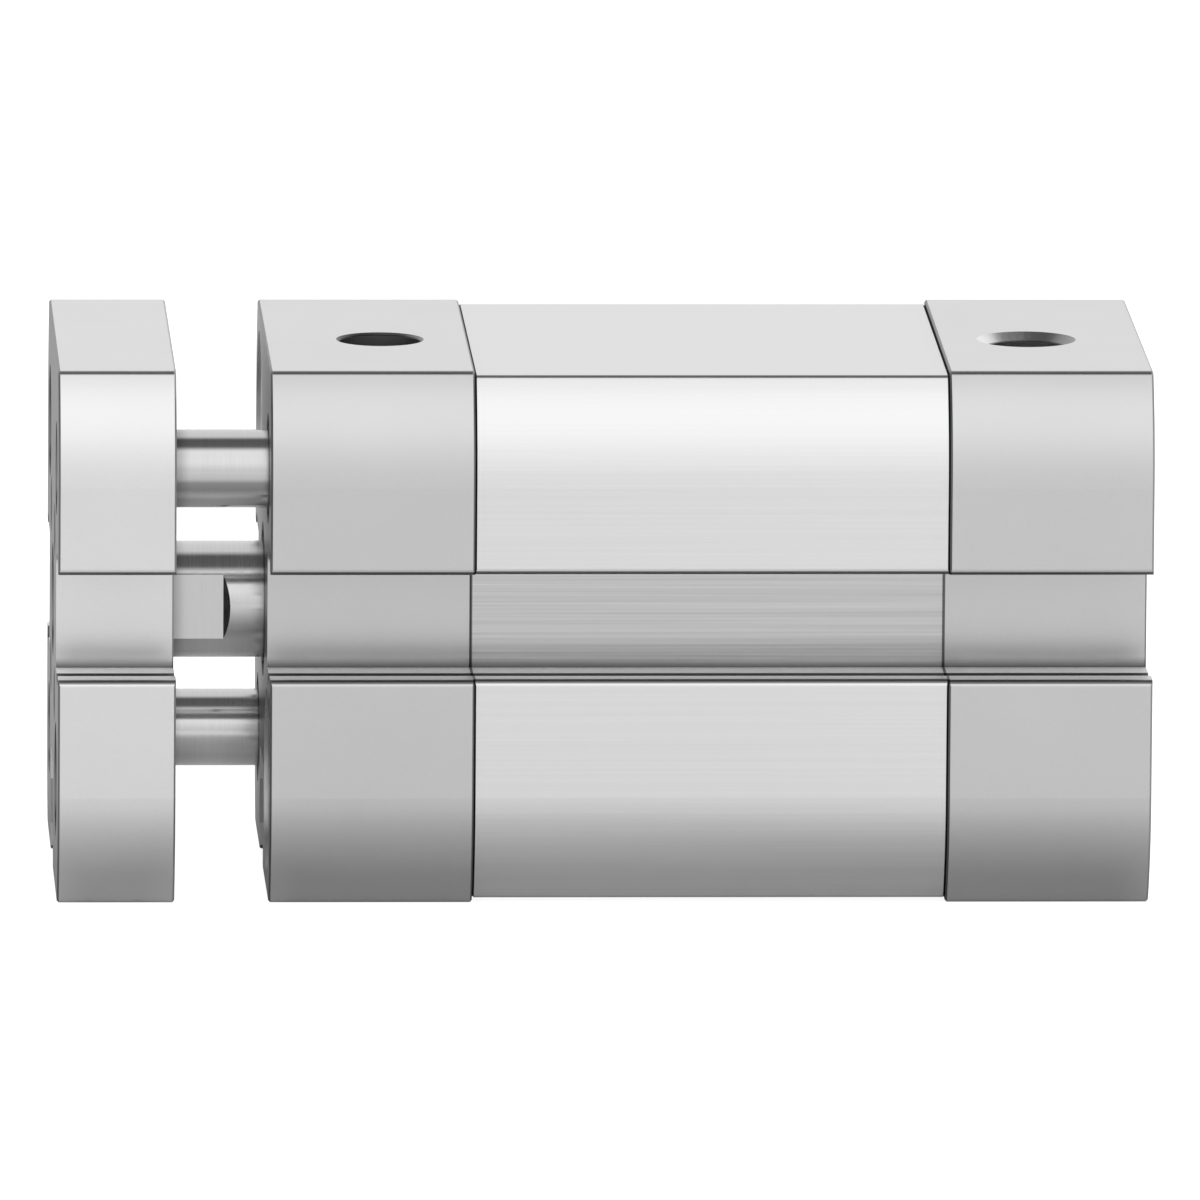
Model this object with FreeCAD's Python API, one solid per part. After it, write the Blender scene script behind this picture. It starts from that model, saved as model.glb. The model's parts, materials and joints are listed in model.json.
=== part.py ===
"""Guided compact pneumatic cylinder, 12 mm bore and 10 mm stroke, in millimetres.

Frame: X runs along the piston axis, +X towards the end cap, the yoke is at -X.
+Z is up (the air ports open upwards), -Y is the near side with the upper slot.
The origin is on the piston axis in the rear face of the end cap.
Built in the retracted position: the yoke stands YOKE_GAP in front of the bearing cap.
"""
import FreeCAD
import Part
import math
import os

V = FreeCAD.Vector

# ---- housing profile ---------------------------------------------------------
PROFILE_W = 27.5            # width and height over the caps and the yoke
CORNER_W = 1.95             # each side curves in by this much above and below
CORNER_H = 5.75             # height of the curved part of a side
CORNER_R = 0.45             # rounding between the top and the curved side
EDGE_C = 0.1                # broken edge around the end faces
BARREL_INSET = 0.23         # the drawn barrel stands this much inside the caps
BARREL_EDGE_C = 0.1
BARREL_CORNER_R = 0.35

# ---- lengths along the axis --------------------------------------------------
STROKE = 10.0
PISTON_L = 9.6
END_CAP_L = 10.4
BEARING_CAP_L = 10.4
YOKE_GAP = 4.8
YOKE_T = 6.0

# ---- sensor slots ------------------------------------------------------------
SLOT_MOUTH = 5.4            # width between the lips
SLOT_LIP = 1.4              # thickness of the lips
SLOT_POCKET = 6.6           # width behind the lips
SLOT_POCKET_D = 3.6         # depth at the foot of the pocket
SLOT_FLOOR = 5.9            # width of the deepest groove
SLOT_D = 5.5                # full depth
SLOT_SHIFT = 0.8            # offset of each slot towards its guide rod
SLOT_MOUTH_R = 0.35         # rounding of the lips

# ---- piston chamber ----------------------------------------------------------
BORE_D = 12.0
SPIGOT_L = 2.0              # the spigot of each cap in the bore
SPIGOT_CLR = 0.05           # on the radius
FACE_SEAL_WALL = 0.65       # metal between the bore and the groove of a face seal
FACE_SEAL_T = 0.8
FACE_SEAL_CLR = 0.1         # beside the seal in its groove
FACE_SEAL_GROOVE_W = 1.1
BUFFER_L = 2.4
BUFFER_PROUD = 0.2
STOP_CLR = 0.1              # left between piston and buffer at both ends of the stroke

# ---- piston rod and its guide ------------------------------------------------
ROD_D = 6.0
ROD_FLAT_DEPTH = 0.5        # each of the two spanner flats
ROD_FLAT_L = 2.7
ROD_FLAT_RAMP = 0.35        # slanted run-out of the flats
ROD_SEAT = 1.0              # depth of the rod in the yoke
ROD_JOURNAL_D = 4.6         # carries the piston
RUN_CLR = 0.03              # running clearance on the radius
SEAL_CLR = 0.02             # running clearance of wipers and seals on the radius
BUSH_WALL = 1.0             # rod bush and rod wiper
SEAL_WALL = 1.3             # rod seal and buffers
WIPER_L = 2.4
BUSH_L = 5.2
SEAL_L = 2.5

# ---- guide rods --------------------------------------------------------------
GUIDE_PITCH = 16.25         # between the two rods, across and up
GUIDE_D = 4.0
GUIDE_SEAT = 1.4
GUIDE_TIP_BACK = 2.0        # the retracted tips end this far in front of the end cap
GUIDE_ROOM = 0.3            # around the rods in the barrel, on the radius
GUIDE_WIPER_WALL = 0.85
GUIDE_WIPER_L = 1.6
GUIDE_BUSH_WALL = 0.7
GUIDE_TIP_C = 0.4

# ---- clamp screws ------------------------------------------------------------
PITCH = 16.0                # square pattern of clamp screws and rear threads
CLAMP_D = 5.0
CLAMP_CLR = 0.15            # around shank and head, on the radius
CLAMP_HEAD_D = 9.0
CLAMP_HEAD_L = 5.0
CLAMP_SUNK = 0.2            # the head lies this much below the cap face
CLAMP_AF = 5.0
CLAMP_SOCKET_L = 2.5
CLAMP_THREAD_L = 5.4        # threaded depth in the end cap
CLAMP_TIP_GAP = 0.3

# ---- ports and rear face -----------------------------------------------------
PORT_END = 5.9              # distance of each port from the end of the body
PORT_SHIFT = 1.5            # offset of the ports towards the near side
PORT_D = 4.2                # M5 thread, drawn at its core
PORT_FRONT_MOUTH_D = 4.5
PORT_REAR_MOUTH_D = 5.1
PORT_L = 6.35
PORT_TIP_D = 1.6            # drilling from the port floor down to the channel
CHANNEL_D = 1.6             # drilling to the chamber
CHANNEL_IN = 0.4            # its axis lies this far inside the wall of the bore
REAR_CENTRE_D = 6.0
REAR_CENTRE_L = 2.1
REAR_THREAD_D = 3.3         # M4, drawn at its core
REAR_THREAD_L = 4.5
THREAD_CHAMFER = 0.25

# ---- yoke --------------------------------------------------------------------
KEY_CLR = 0.02              # around the hexagon key in its way through the yoke
YOKE_M3_D = 2.5             # M3 threads, drawn at their core
YOKE_M3_PCD = 12.0

# ---- screws ------------------------------------------------------------------
SCREW_CLR = 0.15            # around shanks and heads, on the radius
SCREW_SUNK = 0.3            # heads lie this much below the yoke face
M3_D = 3.0
M3_HEAD_D = 5.5
M3_HEAD_L = 3.0
M3_AF = 2.5
M3_IN_ROD = 6.0
M25_D = 2.5
M25_HEAD_D = 4.5
M25_HEAD_L = 2.5
M25_AF = 2.0
M25_IN_ROD = 6.0
PISTON_SCREW_D = 3.0
PISTON_SCREW_HEAD_D = 5.6
PISTON_SCREW_AF = 2.0
PISTON_SCREW_L = 5.0

# ---- piston ------------------------------------------------------------------
PISTON_CLR = 0.2            # on the radius
MAGNET_L = 1.6
GUIDE_RING_T = 0.7          # from the bore in to the magnet
SEAL_T = 1.5                # from the bore in to the floor of a seal groove
SEAL_GROOVE_W = 1.6
SEAL_GROOVE_AT = 1.1        # from the outer face of each half

# ---- derived planes ----------------------------------------------------------
HALF = PROFILE_W / 2.0
CHAMBER_END = SPIGOT_L + BUFFER_PROUD + STOP_CLR
BARREL_L = STROKE + PISTON_L + 2 * CHAMBER_END
X_BARREL_REAR = -END_CAP_L
X_BARREL_FRONT = X_BARREL_REAR - BARREL_L
X_CAP_FRONT = X_BARREL_FRONT - BEARING_CAP_L
X_YOKE_BACK = X_CAP_FRONT - YOKE_GAP
X_YOKE_FRONT = X_YOKE_BACK - YOKE_T
X_SPIGOT_REAR = X_BARREL_REAR - SPIGOT_L
X_SPIGOT_FRONT = X_BARREL_FRONT + SPIGOT_L
X_PISTON_REAR = X_BARREL_REAR - CHAMBER_END
X_PISTON_FRONT = X_PISTON_REAR - PISTON_L
PISTON_HALF_L = (PISTON_L - MAGNET_L) / 2.0
GUIDES = ((-GUIDE_PITCH / 2, GUIDE_PITCH / 2), (GUIDE_PITCH / 2, -GUIDE_PITCH / 2))
CLAMPS = ((PITCH / 2, PITCH / 2), (-PITCH / 2, -PITCH / 2))
REAR_THREADS = CLAMPS + ((-PITCH / 2, PITCH / 2), (PITCH / 2, -PITCH / 2))

# ---- derived fits ------------------------------------------------------------
BUSH_D = ROD_D + 2 * BUSH_WALL
BUFFER_D = ROD_D + 2 * SEAL_WALL
FACE_SEAL_R = BORE_D / 2.0 + FACE_SEAL_WALL + FACE_SEAL_GROOVE_W / 2.0
GUIDE_BUSH_D = GUIDE_D + 2 * GUIDE_BUSH_WALL
GUIDE_WIPER_D = GUIDE_D + 2 * GUIDE_WIPER_WALL
CLAMP_RECESS_L = CLAMP_HEAD_L + CLAMP_SUNK
M3_CBORE_L = M3_HEAD_L + SCREW_SUNK
M25_CBORE_L = M25_HEAD_L + SCREW_SUNK
PISTON_D = BORE_D - 2 * PISTON_CLR
MAGNET_D = BORE_D - 2 * GUIDE_RING_T
SEAL_GROOVE_D = BORE_D - 2 * SEAL_T
CHANNEL_Z = math.sqrt((BORE_D / 2.0 - CHANNEL_IN) ** 2 - PORT_SHIFT ** 2)


# ---- small helpers -----------------------------------------------------------
def rod(d, x0, x1, y=0.0, z=0.0):
    """Cylinder along X between two planes."""
    lo, hi = min(x0, x1), max(x0, x1)
    return Part.makeCylinder(d / 2.0, hi - lo, V(lo, y, z), V(1, 0, 0))


def ring(d_out, d_in, x0, x1, y=0.0, z=0.0):
    return rod(d_out, x0, x1, y, z).cut(rod(d_in, x0, x1, y, z))


def cone(d0, d1, x0, x1, y=0.0, z=0.0):
    """Cone along X, d0 at x0 and d1 at x1."""
    if x0 > x1:
        x0, x1, d0, d1 = x1, x0, d1, d0
    return Part.makeCone(d0 / 2.0, d1 / 2.0, x1 - x0, V(x0, y, z), V(1, 0, 0))


def hexagon(af, x0, x1, y=0.0, z=0.0):
    """Hexagonal prism along X, given across its flats."""
    lo, hi = min(x0, x1), max(x0, x1)
    r = af / math.sqrt(3.0)
    pts = [V(lo, y + r * math.cos(math.radians(60 * i)), z + r * math.sin(math.radians(60 * i)))
           for i in range(7)]
    return Part.Face(Part.makePolygon(pts)).extrude(V(hi - lo, 0, 0))


def fused(shapes):
    out = shapes[0]
    for s in shapes[1:]:
        out = out.fuse(s)
    return out


def cut_all(body, tools):
    return body.cut(Part.makeCompound(tools)) if len(tools) == 1 else body.cut(fused(tools))


def clean(shape):
    """One valid solid with merged faces."""
    shape = shape.removeSplitter()
    solids = shape.Solids
    if len(solids) != 1:
        raise ValueError("expected one solid, got %d" % len(solids))
    return solids[0]


# ---- profile -----------------------------------------------------------------
def outline(x0, x1, inset, chamfer, corner_r):
    """Prism with flat top and bottom and sides that curve in above and below."""
    h = HALF - inset
    f = HALF - CORNER_W - inset / 2.0
    s = HALF - CORNER_H
    dx, dz = h - f, h - s
    r = (dx * dx + dz * dz) / (2.0 * dx)

    def arc(sy, sz):
        cy, a = h - r, math.atan2(dz, r - dx) / 2.0
        return V(x0, sy * (cy + r * math.cos(a)), sz * (s + r * math.sin(a)))

    p = {(sy, sz, k): V(x0, sy * (h if k else f), sz * (s if k else h))
         for sy in (-1, 1) for sz in (-1, 1) for k in (0, 1)}
    edges = [
        Part.makeLine(p[-1, 1, 0], p[1, 1, 0]),
        Part.Arc(p[1, 1, 0], arc(1, 1), p[1, 1, 1]).toShape(),
        Part.makeLine(p[1, 1, 1], p[1, -1, 1]),
        Part.Arc(p[1, -1, 1], arc(1, -1), p[1, -1, 0]).toShape(),
        Part.makeLine(p[1, -1, 0], p[-1, -1, 0]),
        Part.Arc(p[-1, -1, 0], arc(-1, -1), p[-1, -1, 1]).toShape(),
        Part.makeLine(p[-1, -1, 1], p[-1, 1, 1]),
        Part.Arc(p[-1, 1, 1], arc(-1, 1), p[-1, 1, 0]).toShape(),
    ]
    solid = Part.Face(Part.Wire(edges)).extrude(V(x1 - x0, 0, 0))
    corners = [e for e in solid.Edges if abs(abs(e.CenterOfMass.z) - h) < 1e-6
               and abs(abs(e.CenterOfMass.y) - f) < 1e-6 and e.Length > (x1 - x0) - 1e-6]
    solid = solid.makeFillet(corner_r, corners)
    ends = [e for e in solid.Edges
            if abs(e.BoundBox.XLength) < 1e-6
            and min(abs(e.CenterOfMass.x - x0), abs(e.CenterOfMass.x - x1)) < 1e-6]
    return solid.makeChamfer(chamfer, ends)


def slot_tool(x0, x1, inset):
    """T-slot prism drawn in the near side: depth runs along +Y from the side face."""
    surf = -(HALF - inset)
    m, r, out = SLOT_MOUTH / 2.0, SLOT_MOUTH_R, 1.0
    lip, pocket, foot = -HALF + SLOT_LIP, -HALF + SLOT_POCKET_D, -HALF + SLOT_D
    q = math.sqrt(0.5) * r

    def half_points(s):
        return [V(x0, surf - out, s * (m + r)), V(x0, surf, s * (m + r)), V(x0, surf + r, s * m),
                V(x0, lip, s * m), V(x0, lip, s * SLOT_POCKET / 2), V(x0, pocket, s * SLOT_POCKET / 2),
                V(x0, pocket, s * SLOT_FLOOR / 2), V(x0, foot, s * SLOT_FLOOR / 2)]

    edges = []
    ends = []
    for s in (1, -1):
        pts = half_points(s)
        ends.append((pts[0], pts[-1]))
        for a, b in zip(pts, pts[1:]):
            if a is pts[1]:
                mid = V(x0, surf + r - q, s * (m + r - q))
                edges.append(Part.Arc(a, mid, b).toShape())
            else:
                edges.append(Part.makeLine(a, b))
    edges.append(Part.makeLine(ends[0][0], ends[1][0]))
    edges.append(Part.makeLine(ends[0][1], ends[1][1]))
    wire = Part.Wire(Part.__sortEdges__(edges))
    return Part.Face(wire).extrude(V(x1 - x0, 0, 0))


def slots(x0, x1, inset):
    """The near, far and bottom slots, each shifted towards a guide rod."""
    tools = []
    for turn, dy, dz in ((0, 0.0, SLOT_SHIFT), (180, 0.0, -SLOT_SHIFT), (90, SLOT_SHIFT, 0.0)):
        t = slot_tool(x0 - 1.0, x1 + 1.0, inset)
        t.rotate(V(0, 0, 0), V(1, 0, 0), turn)
        t.translate(V(0, dy, dz))
        tools.append(t)
    return tools


def port_tools(x, x_face, mouth_d):
    """Threaded port from above, its tip drilling and the channel to the chamber."""
    y = -PORT_SHIFT
    c = (mouth_d - PORT_D) / 2.0
    down = V(0, 0, -1)
    reach = CHANNEL_D / 2.0 if x_face > x else -CHANNEL_D / 2.0
    return [
        Part.makeCylinder(PORT_D / 2, PORT_L, V(x, y, HALF), down),
        Part.makeCone(mouth_d / 2, PORT_D / 2, c, V(x, y, HALF), down),
        Part.makeCylinder(PORT_TIP_D / 2, HALF - CHANNEL_Z, V(x, y, HALF), down),
        rod(CHANNEL_D, x - reach, x_face, y, CHANNEL_Z),
    ]


def threaded(d, x_face, depth, y, z):
    """Threaded hole along X from a face; the sign of depth gives its direction."""
    c = math.copysign(THREAD_CHAMFER, depth)
    return [rod(d, x_face, x_face + depth, y, z),
            cone(d + 2 * THREAD_CHAMFER, d, x_face, x_face + c, y, z)]


def face_seal_groove(x0):
    r, w = FACE_SEAL_R, FACE_SEAL_GROOVE_W
    return ring(2 * r + w, 2 * r - w, x0, x0 + FACE_SEAL_T)


# ---- housing -----------------------------------------------------------------
def barrel():
    body = outline(X_BARREL_FRONT, X_BARREL_REAR, BARREL_INSET, BARREL_EDGE_C, BARREL_CORNER_R)
    tools = slots(X_BARREL_FRONT, X_BARREL_REAR, BARREL_INSET)
    tools.append(rod(BORE_D, X_BARREL_FRONT - 1, X_BARREL_REAR + 1))
    tools += [rod(GUIDE_D + 2 * GUIDE_ROOM, X_BARREL_FRONT - 1, X_BARREL_REAR + 1, y, z) for y, z in GUIDES]
    tools += [rod(CLAMP_D + 2 * CLAMP_CLR, X_BARREL_FRONT - 1, X_BARREL_REAR + 1, y, z) for y, z in CLAMPS]
    return clean(cut_all(body, tools))


def bearing_cap():
    body = outline(X_CAP_FRONT, X_BARREL_FRONT, 0.0, EDGE_C, CORNER_R)
    body = body.fuse(rod(BORE_D - 2 * SPIGOT_CLR, X_BARREL_FRONT - 1, X_SPIGOT_FRONT))
    seat = X_CAP_FRONT + WIPER_L + BUSH_L
    tools = slots(X_CAP_FRONT, X_BARREL_FRONT, 0.0)
    tools.append(rod(BUSH_D, X_CAP_FRONT - 1, seat))
    tools.append(rod(BUFFER_D, seat, X_SPIGOT_FRONT + 1))
    tools.append(face_seal_groove(X_BARREL_FRONT - FACE_SEAL_T))
    for y, z in GUIDES:
        tools.append(rod(GUIDE_WIPER_D, X_CAP_FRONT - 1, X_CAP_FRONT + GUIDE_WIPER_L, y, z))
        tools.append(rod(GUIDE_BUSH_D, X_CAP_FRONT, X_BARREL_FRONT + 1, y, z))
    for y, z in CLAMPS:
        tools.append(rod(CLAMP_HEAD_D + 2 * CLAMP_CLR, X_CAP_FRONT - 1, X_CAP_FRONT + CLAMP_RECESS_L, y, z))
        tools.append(rod(CLAMP_D + 2 * CLAMP_CLR, X_CAP_FRONT, X_BARREL_FRONT + 1, y, z))
    tools += port_tools(X_CAP_FRONT + PORT_END, X_SPIGOT_FRONT + 1, PORT_FRONT_MOUTH_D)
    return clean(cut_all(body, tools))


def end_cap():
    body = outline(X_BARREL_REAR, 0.0, 0.0, EDGE_C, CORNER_R)
    body = body.fuse(rod(BORE_D - 2 * SPIGOT_CLR, X_SPIGOT_REAR, X_BARREL_REAR + 1))
    tools = slots(X_BARREL_REAR, 0.0, 0.0)
    tools.append(rod(BUFFER_D, X_SPIGOT_REAR - 1, X_SPIGOT_REAR + BUFFER_L - BUFFER_PROUD))
    tools.append(face_seal_groove(X_BARREL_REAR))
    tools.append(rod(REAR_CENTRE_D, -REAR_CENTRE_L, 1.0))
    for y, z in REAR_THREADS:
        tools += threaded(REAR_THREAD_D, 0.0, -REAR_THREAD_L, y, z)
    for y, z in CLAMPS:
        tools.append(rod(CLAMP_D, X_BARREL_REAR - 1, X_BARREL_REAR + CLAMP_THREAD_L, y, z))
    tools += port_tools(-PORT_END, X_SPIGOT_REAR - 1, PORT_REAR_MOUTH_D)
    return clean(cut_all(body, tools))


def clamp_screw(y, z):
    face = X_CAP_FRONT + CLAMP_SUNK
    under = X_CAP_FRONT + CLAMP_RECESS_L
    tip = X_BARREL_REAR + CLAMP_THREAD_L - CLAMP_TIP_GAP
    body = fused([rod(CLAMP_HEAD_D, face + 0.3, under, y, z),
                  cone(CLAMP_HEAD_D - 0.6, CLAMP_HEAD_D, face, face + 0.3, y, z),
                  rod(CLAMP_D, under - 1, tip - 0.5, y, z),
                  cone(CLAMP_D, CLAMP_D - 1.0, tip - 0.5, tip, y, z)])
    return clean(body.cut(hexagon(CLAMP_AF, face - 1, face + CLAMP_SOCKET_L, y, z)))


def rod_wiper():
    """Wiper ring with a lip that leans out along the rod."""
    x0, x1 = X_CAP_FRONT, X_CAP_FRONT + WIPER_L
    bore = ROD_D + 2 * SEAL_CLR
    body = ring(BUSH_D, bore, x0, x1)
    dish = cone(BUSH_D - 0.8, bore + 0.5, x0, x0 + 0.7).cut(rod(bore + 0.5, x0 - 1, x1))
    return clean(body.cut(dish))


def rod_bush():
    x0 = X_CAP_FRONT + WIPER_L
    return clean(ring(BUSH_D, ROD_D + 2 * RUN_CLR, x0, x0 + BUSH_L))


def rod_seal():
    """Lip seal of the rod, open towards the chamber."""
    x0 = X_CAP_FRONT + WIPER_L + BUSH_L
    x1 = x0 + SEAL_L
    bore = ROD_D + 2 * SEAL_CLR
    body = ring(BUFFER_D, bore, x0, x1)
    mid = (BUFFER_D + bore) / 2.0
    return clean(body.cut(ring(mid + 0.5, mid - 0.5, x1 - 1.2, x1)))


def front_buffer():
    x1 = X_SPIGOT_FRONT + BUFFER_PROUD
    x0 = X_CAP_FRONT + WIPER_L + BUSH_L + SEAL_L
    return clean(ring(BUFFER_D, ROD_D + 0.5, x0, x1))


def rear_buffer():
    x0 = X_SPIGOT_REAR - BUFFER_PROUD
    return clean(rod(BUFFER_D, x0, x0 + BUFFER_L).cut(rod(PISTON_SCREW_HEAD_D, x0, x0 + 0.6)))


def face_seal(x0):
    """Flat ring seal in its groove between a cap and the barrel."""
    r, w = FACE_SEAL_R, FACE_SEAL_GROOVE_W - 2 * FACE_SEAL_CLR
    return clean(ring(2 * r + w, 2 * r - w, x0, x0 + FACE_SEAL_T))


def guide_wiper(y, z):
    x0, x1 = X_CAP_FRONT, X_CAP_FRONT + GUIDE_WIPER_L
    bore = GUIDE_D + 2 * SEAL_CLR
    body = ring(GUIDE_WIPER_D, bore, x0, x1, y, z)
    dish = cone(GUIDE_WIPER_D - 0.4, bore + 0.4, x0, x0 + 0.4, y, z)
    return clean(body.cut(dish.cut(rod(bore + 0.4, x0 - 1, x1, y, z))))


def guide_bush(y, z):
    return clean(ring(GUIDE_BUSH_D, GUIDE_D + 2 * RUN_CLR,
                      X_CAP_FRONT + GUIDE_WIPER_L, X_BARREL_FRONT, y, z))


# ---- moving unit -------------------------------------------------------------
def screw_seat(d, head_d, cbore_l, rod_d, seat_l, y, z):
    """Counterbore, clearance hole and rod seat through the yoke on one axis."""
    return [rod(head_d + 2 * SCREW_CLR, X_YOKE_FRONT - 1, X_YOKE_FRONT + cbore_l, y, z),
            rod(d + 2 * SCREW_CLR, X_YOKE_FRONT, X_YOKE_BACK, y, z),
            rod(rod_d, X_YOKE_BACK - seat_l, X_YOKE_BACK + 1, y, z)]


def yoke_plate():
    body = outline(X_YOKE_FRONT, X_YOKE_BACK, 0.0, EDGE_C, CORNER_R)
    tools = slots(X_YOKE_FRONT, X_YOKE_BACK, 0.0)
    tools += screw_seat(M3_D, M3_HEAD_D, M3_CBORE_L, ROD_D, ROD_SEAT, 0.0, 0.0)
    for y, z in GUIDES:
        tools += screw_seat(M25_D, M25_HEAD_D, M25_CBORE_L, GUIDE_D, GUIDE_SEAT, y, z)
    key_way = CLAMP_AF * 2.0 / math.sqrt(3.0) + 2 * KEY_CLR
    for y, z in CLAMPS:
        tools.append(rod(key_way, X_YOKE_FRONT - 1, X_YOKE_BACK + 1, y, z))
    a = YOKE_M3_PCD / 2.0 * math.sqrt(0.5)
    for sy in (-1, 1):
        for sz in (-1, 1):
            tools += threaded(YOKE_M3_D, X_YOKE_FRONT, YOKE_T + 1, sy * a, sz * a)
    return clean(cut_all(body, tools))


def piston_rod():
    x0, x1 = X_YOKE_BACK - ROD_SEAT, X_PISTON_FRONT
    journal_end = X_PISTON_REAR - screw_head_l()
    body = fused([rod(ROD_D, x0, x1), rod(ROD_JOURNAL_D, x1 - 1, journal_end)])
    flat_end = X_YOKE_BACK + ROD_FLAT_L
    half = ROD_D / 2.0 - ROD_FLAT_DEPTH
    tools = [rod(M3_D, x0, x0 + M3_IN_ROD + 1.0),
             rod(PISTON_SCREW_D, journal_end - PISTON_SCREW_L - 0.6, journal_end)]
    for s in (-1, 1):
        pts = [V(X_YOKE_BACK, s * half, -ROD_D), V(flat_end, s * half, -ROD_D),
               V(flat_end + ROD_FLAT_RAMP, s * ROD_D / 2.0, -ROD_D),
               V(flat_end + ROD_FLAT_RAMP, s * ROD_D, -ROD_D), V(X_YOKE_BACK, s * ROD_D, -ROD_D)]
        pts.append(pts[0])
        tools.append(Part.Face(Part.makePolygon(pts)).extrude(V(0, 0, 2 * ROD_D)))
    return clean(cut_all(body, tools))


def cap_screw(d, head_d, head_l, af, under, length, y=0.0, z=0.0):
    """Socket head cap screw pointing along +X, its head seated at the plane under."""
    body = fused([rod(head_d, under - head_l + 0.25, under, y, z),
                  cone(head_d - 0.5, head_d, under - head_l, under - head_l + 0.25, y, z),
                  rod(d, under - 0.5, under + length, y, z)])
    return clean(body.cut(hexagon(af, under - head_l - 1, under - head_l / 2.0, y, z)))


def yoke_screw():
    under = X_YOKE_FRONT + M3_CBORE_L
    web = YOKE_T - M3_CBORE_L - ROD_SEAT
    return cap_screw(M3_D, M3_HEAD_D, M3_HEAD_L, M3_AF, under, web + M3_IN_ROD)


def guide_screw(y, z):
    under = X_YOKE_FRONT + M25_CBORE_L
    web = YOKE_T - M25_CBORE_L - GUIDE_SEAT
    return cap_screw(M25_D, M25_HEAD_D, M25_HEAD_L, M25_AF, under, web + M25_IN_ROD, y, z)


def guide_rod(y, z):
    x0, x1 = X_YOKE_BACK - GUIDE_SEAT, X_BARREL_REAR - GUIDE_TIP_BACK
    body = fused([rod(GUIDE_D, x0, x1 - GUIDE_TIP_C, y, z),
                  cone(GUIDE_D, GUIDE_D - 2 * GUIDE_TIP_C, x1 - GUIDE_TIP_C, x1, y, z)])
    return clean(body.cut(rod(M25_D, x0, x0 + M25_IN_ROD + 1.0, y, z)))


def screw_head_l():
    """Height of the countersunk head of the piston screw."""
    return (PISTON_SCREW_HEAD_D - PISTON_SCREW_D) / 2.0


def groove(x_outer, side):
    """Seal groove of a piston half; side points from the outer face inwards."""
    a = x_outer + side * SEAL_GROOVE_AT
    return ring(PISTON_D + 1, SEAL_GROOVE_D, a, a + side * SEAL_GROOVE_W)


def piston_front():
    x0 = X_PISTON_FRONT
    return clean(ring(PISTON_D, ROD_JOURNAL_D, x0, x0 + PISTON_HALF_L).cut(groove(x0, 1)))


def piston_rear():
    """Rear half with the countersink of the piston screw."""
    x1 = X_PISTON_REAR
    x0 = X_PISTON_FRONT + PISTON_HALF_L + MAGNET_L
    sink = cone(PISTON_SCREW_D, PISTON_SCREW_HEAD_D, x1 - screw_head_l(), x1)
    body = rod(PISTON_D, x0, x1).cut(rod(ROD_JOURNAL_D, x0 - 1, x1 - screw_head_l()))
    return clean(cut_all(body, [sink, groove(x1, -1)]))


def magnet():
    x0 = X_PISTON_FRONT + PISTON_HALF_L
    return clean(ring(MAGNET_D, ROD_JOURNAL_D, x0, x0 + MAGNET_L))


def guide_ring():
    x0 = X_PISTON_FRONT + PISTON_HALF_L
    return clean(ring(BORE_D - 2 * RUN_CLR, MAGNET_D, x0, x0 + MAGNET_L))


def piston_seal(x_outer, side):
    """Lip seal in its groove, open towards the chamber."""
    a = x_outer + side * SEAL_GROOVE_AT
    b = a + side * SEAL_GROOVE_W
    body = ring(BORE_D - 2 * SEAL_CLR, SEAL_GROOVE_D, a, b)
    mid = (BORE_D + SEAL_GROOVE_D) / 2.0
    return clean(body.cut(ring(mid + 0.4, mid - 0.4, a, a + side * 0.7)))


def piston_screw():
    x1 = X_PISTON_REAR
    x0 = x1 - screw_head_l()
    body = cone(PISTON_SCREW_D, PISTON_SCREW_HEAD_D, x0, x1).fuse(
        rod(PISTON_SCREW_D, x0 - PISTON_SCREW_L, x0 + 0.1))
    return clean(body.cut(hexagon(PISTON_SCREW_AF, x1 - 1.0, x1 + 1)))


PARTS = {
    "barrel": barrel(),
    "bearing_cap": bearing_cap(),
    "end_cap": end_cap(),
    "clamp_screw_1": clamp_screw(*CLAMPS[0]),
    "clamp_screw_2": clamp_screw(*CLAMPS[1]),
    "rod_wiper": rod_wiper(),
    "rod_bush": rod_bush(),
    "rod_seal": rod_seal(),
    "front_buffer": front_buffer(),
    "rear_buffer": rear_buffer(),
    "face_seal_front": face_seal(X_BARREL_FRONT - FACE_SEAL_T),
    "face_seal_rear": face_seal(X_BARREL_REAR),
    "guide_wiper_1": guide_wiper(*GUIDES[0]),
    "guide_wiper_2": guide_wiper(*GUIDES[1]),
    "guide_bush_1": guide_bush(*GUIDES[0]),
    "guide_bush_2": guide_bush(*GUIDES[1]),
    "yoke_plate": yoke_plate(),
    "piston_rod": piston_rod(),
    "yoke_screw": yoke_screw(),
    "guide_rod_1": guide_rod(*GUIDES[0]),
    "guide_rod_2": guide_rod(*GUIDES[1]),
    "guide_screw_1": guide_screw(*GUIDES[0]),
    "guide_screw_2": guide_screw(*GUIDES[1]),
    "piston_front": piston_front(),
    "piston_rear": piston_rear(),
    "magnet": magnet(),
    "guide_ring": guide_ring(),
    "piston_seal_1": piston_seal(X_PISTON_FRONT, 1),
    "piston_seal_2": piston_seal(X_PISTON_REAR, -1),
    "piston_screw": piston_screw(),
}

os.makedirs("parts", exist_ok=True)
for name, shape in PARTS.items():
    shape.exportStep("parts/%s.step" % name)
    b = shape.BoundBox
    print("%-16s %8.2f mm3  x %7.2f %7.2f  y %6.2f %6.2f  z %6.2f %6.2f  valid %s"
          % (name, shape.Volume, b.XMin, b.XMax, b.YMin, b.YMax, b.ZMin, b.ZMax, shape.isValid()))
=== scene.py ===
"""Looks for the guided compact cylinder: finishes, threads, floor, light and camera."""
import bpy
import json
import math
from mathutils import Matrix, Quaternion, Vector


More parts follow.
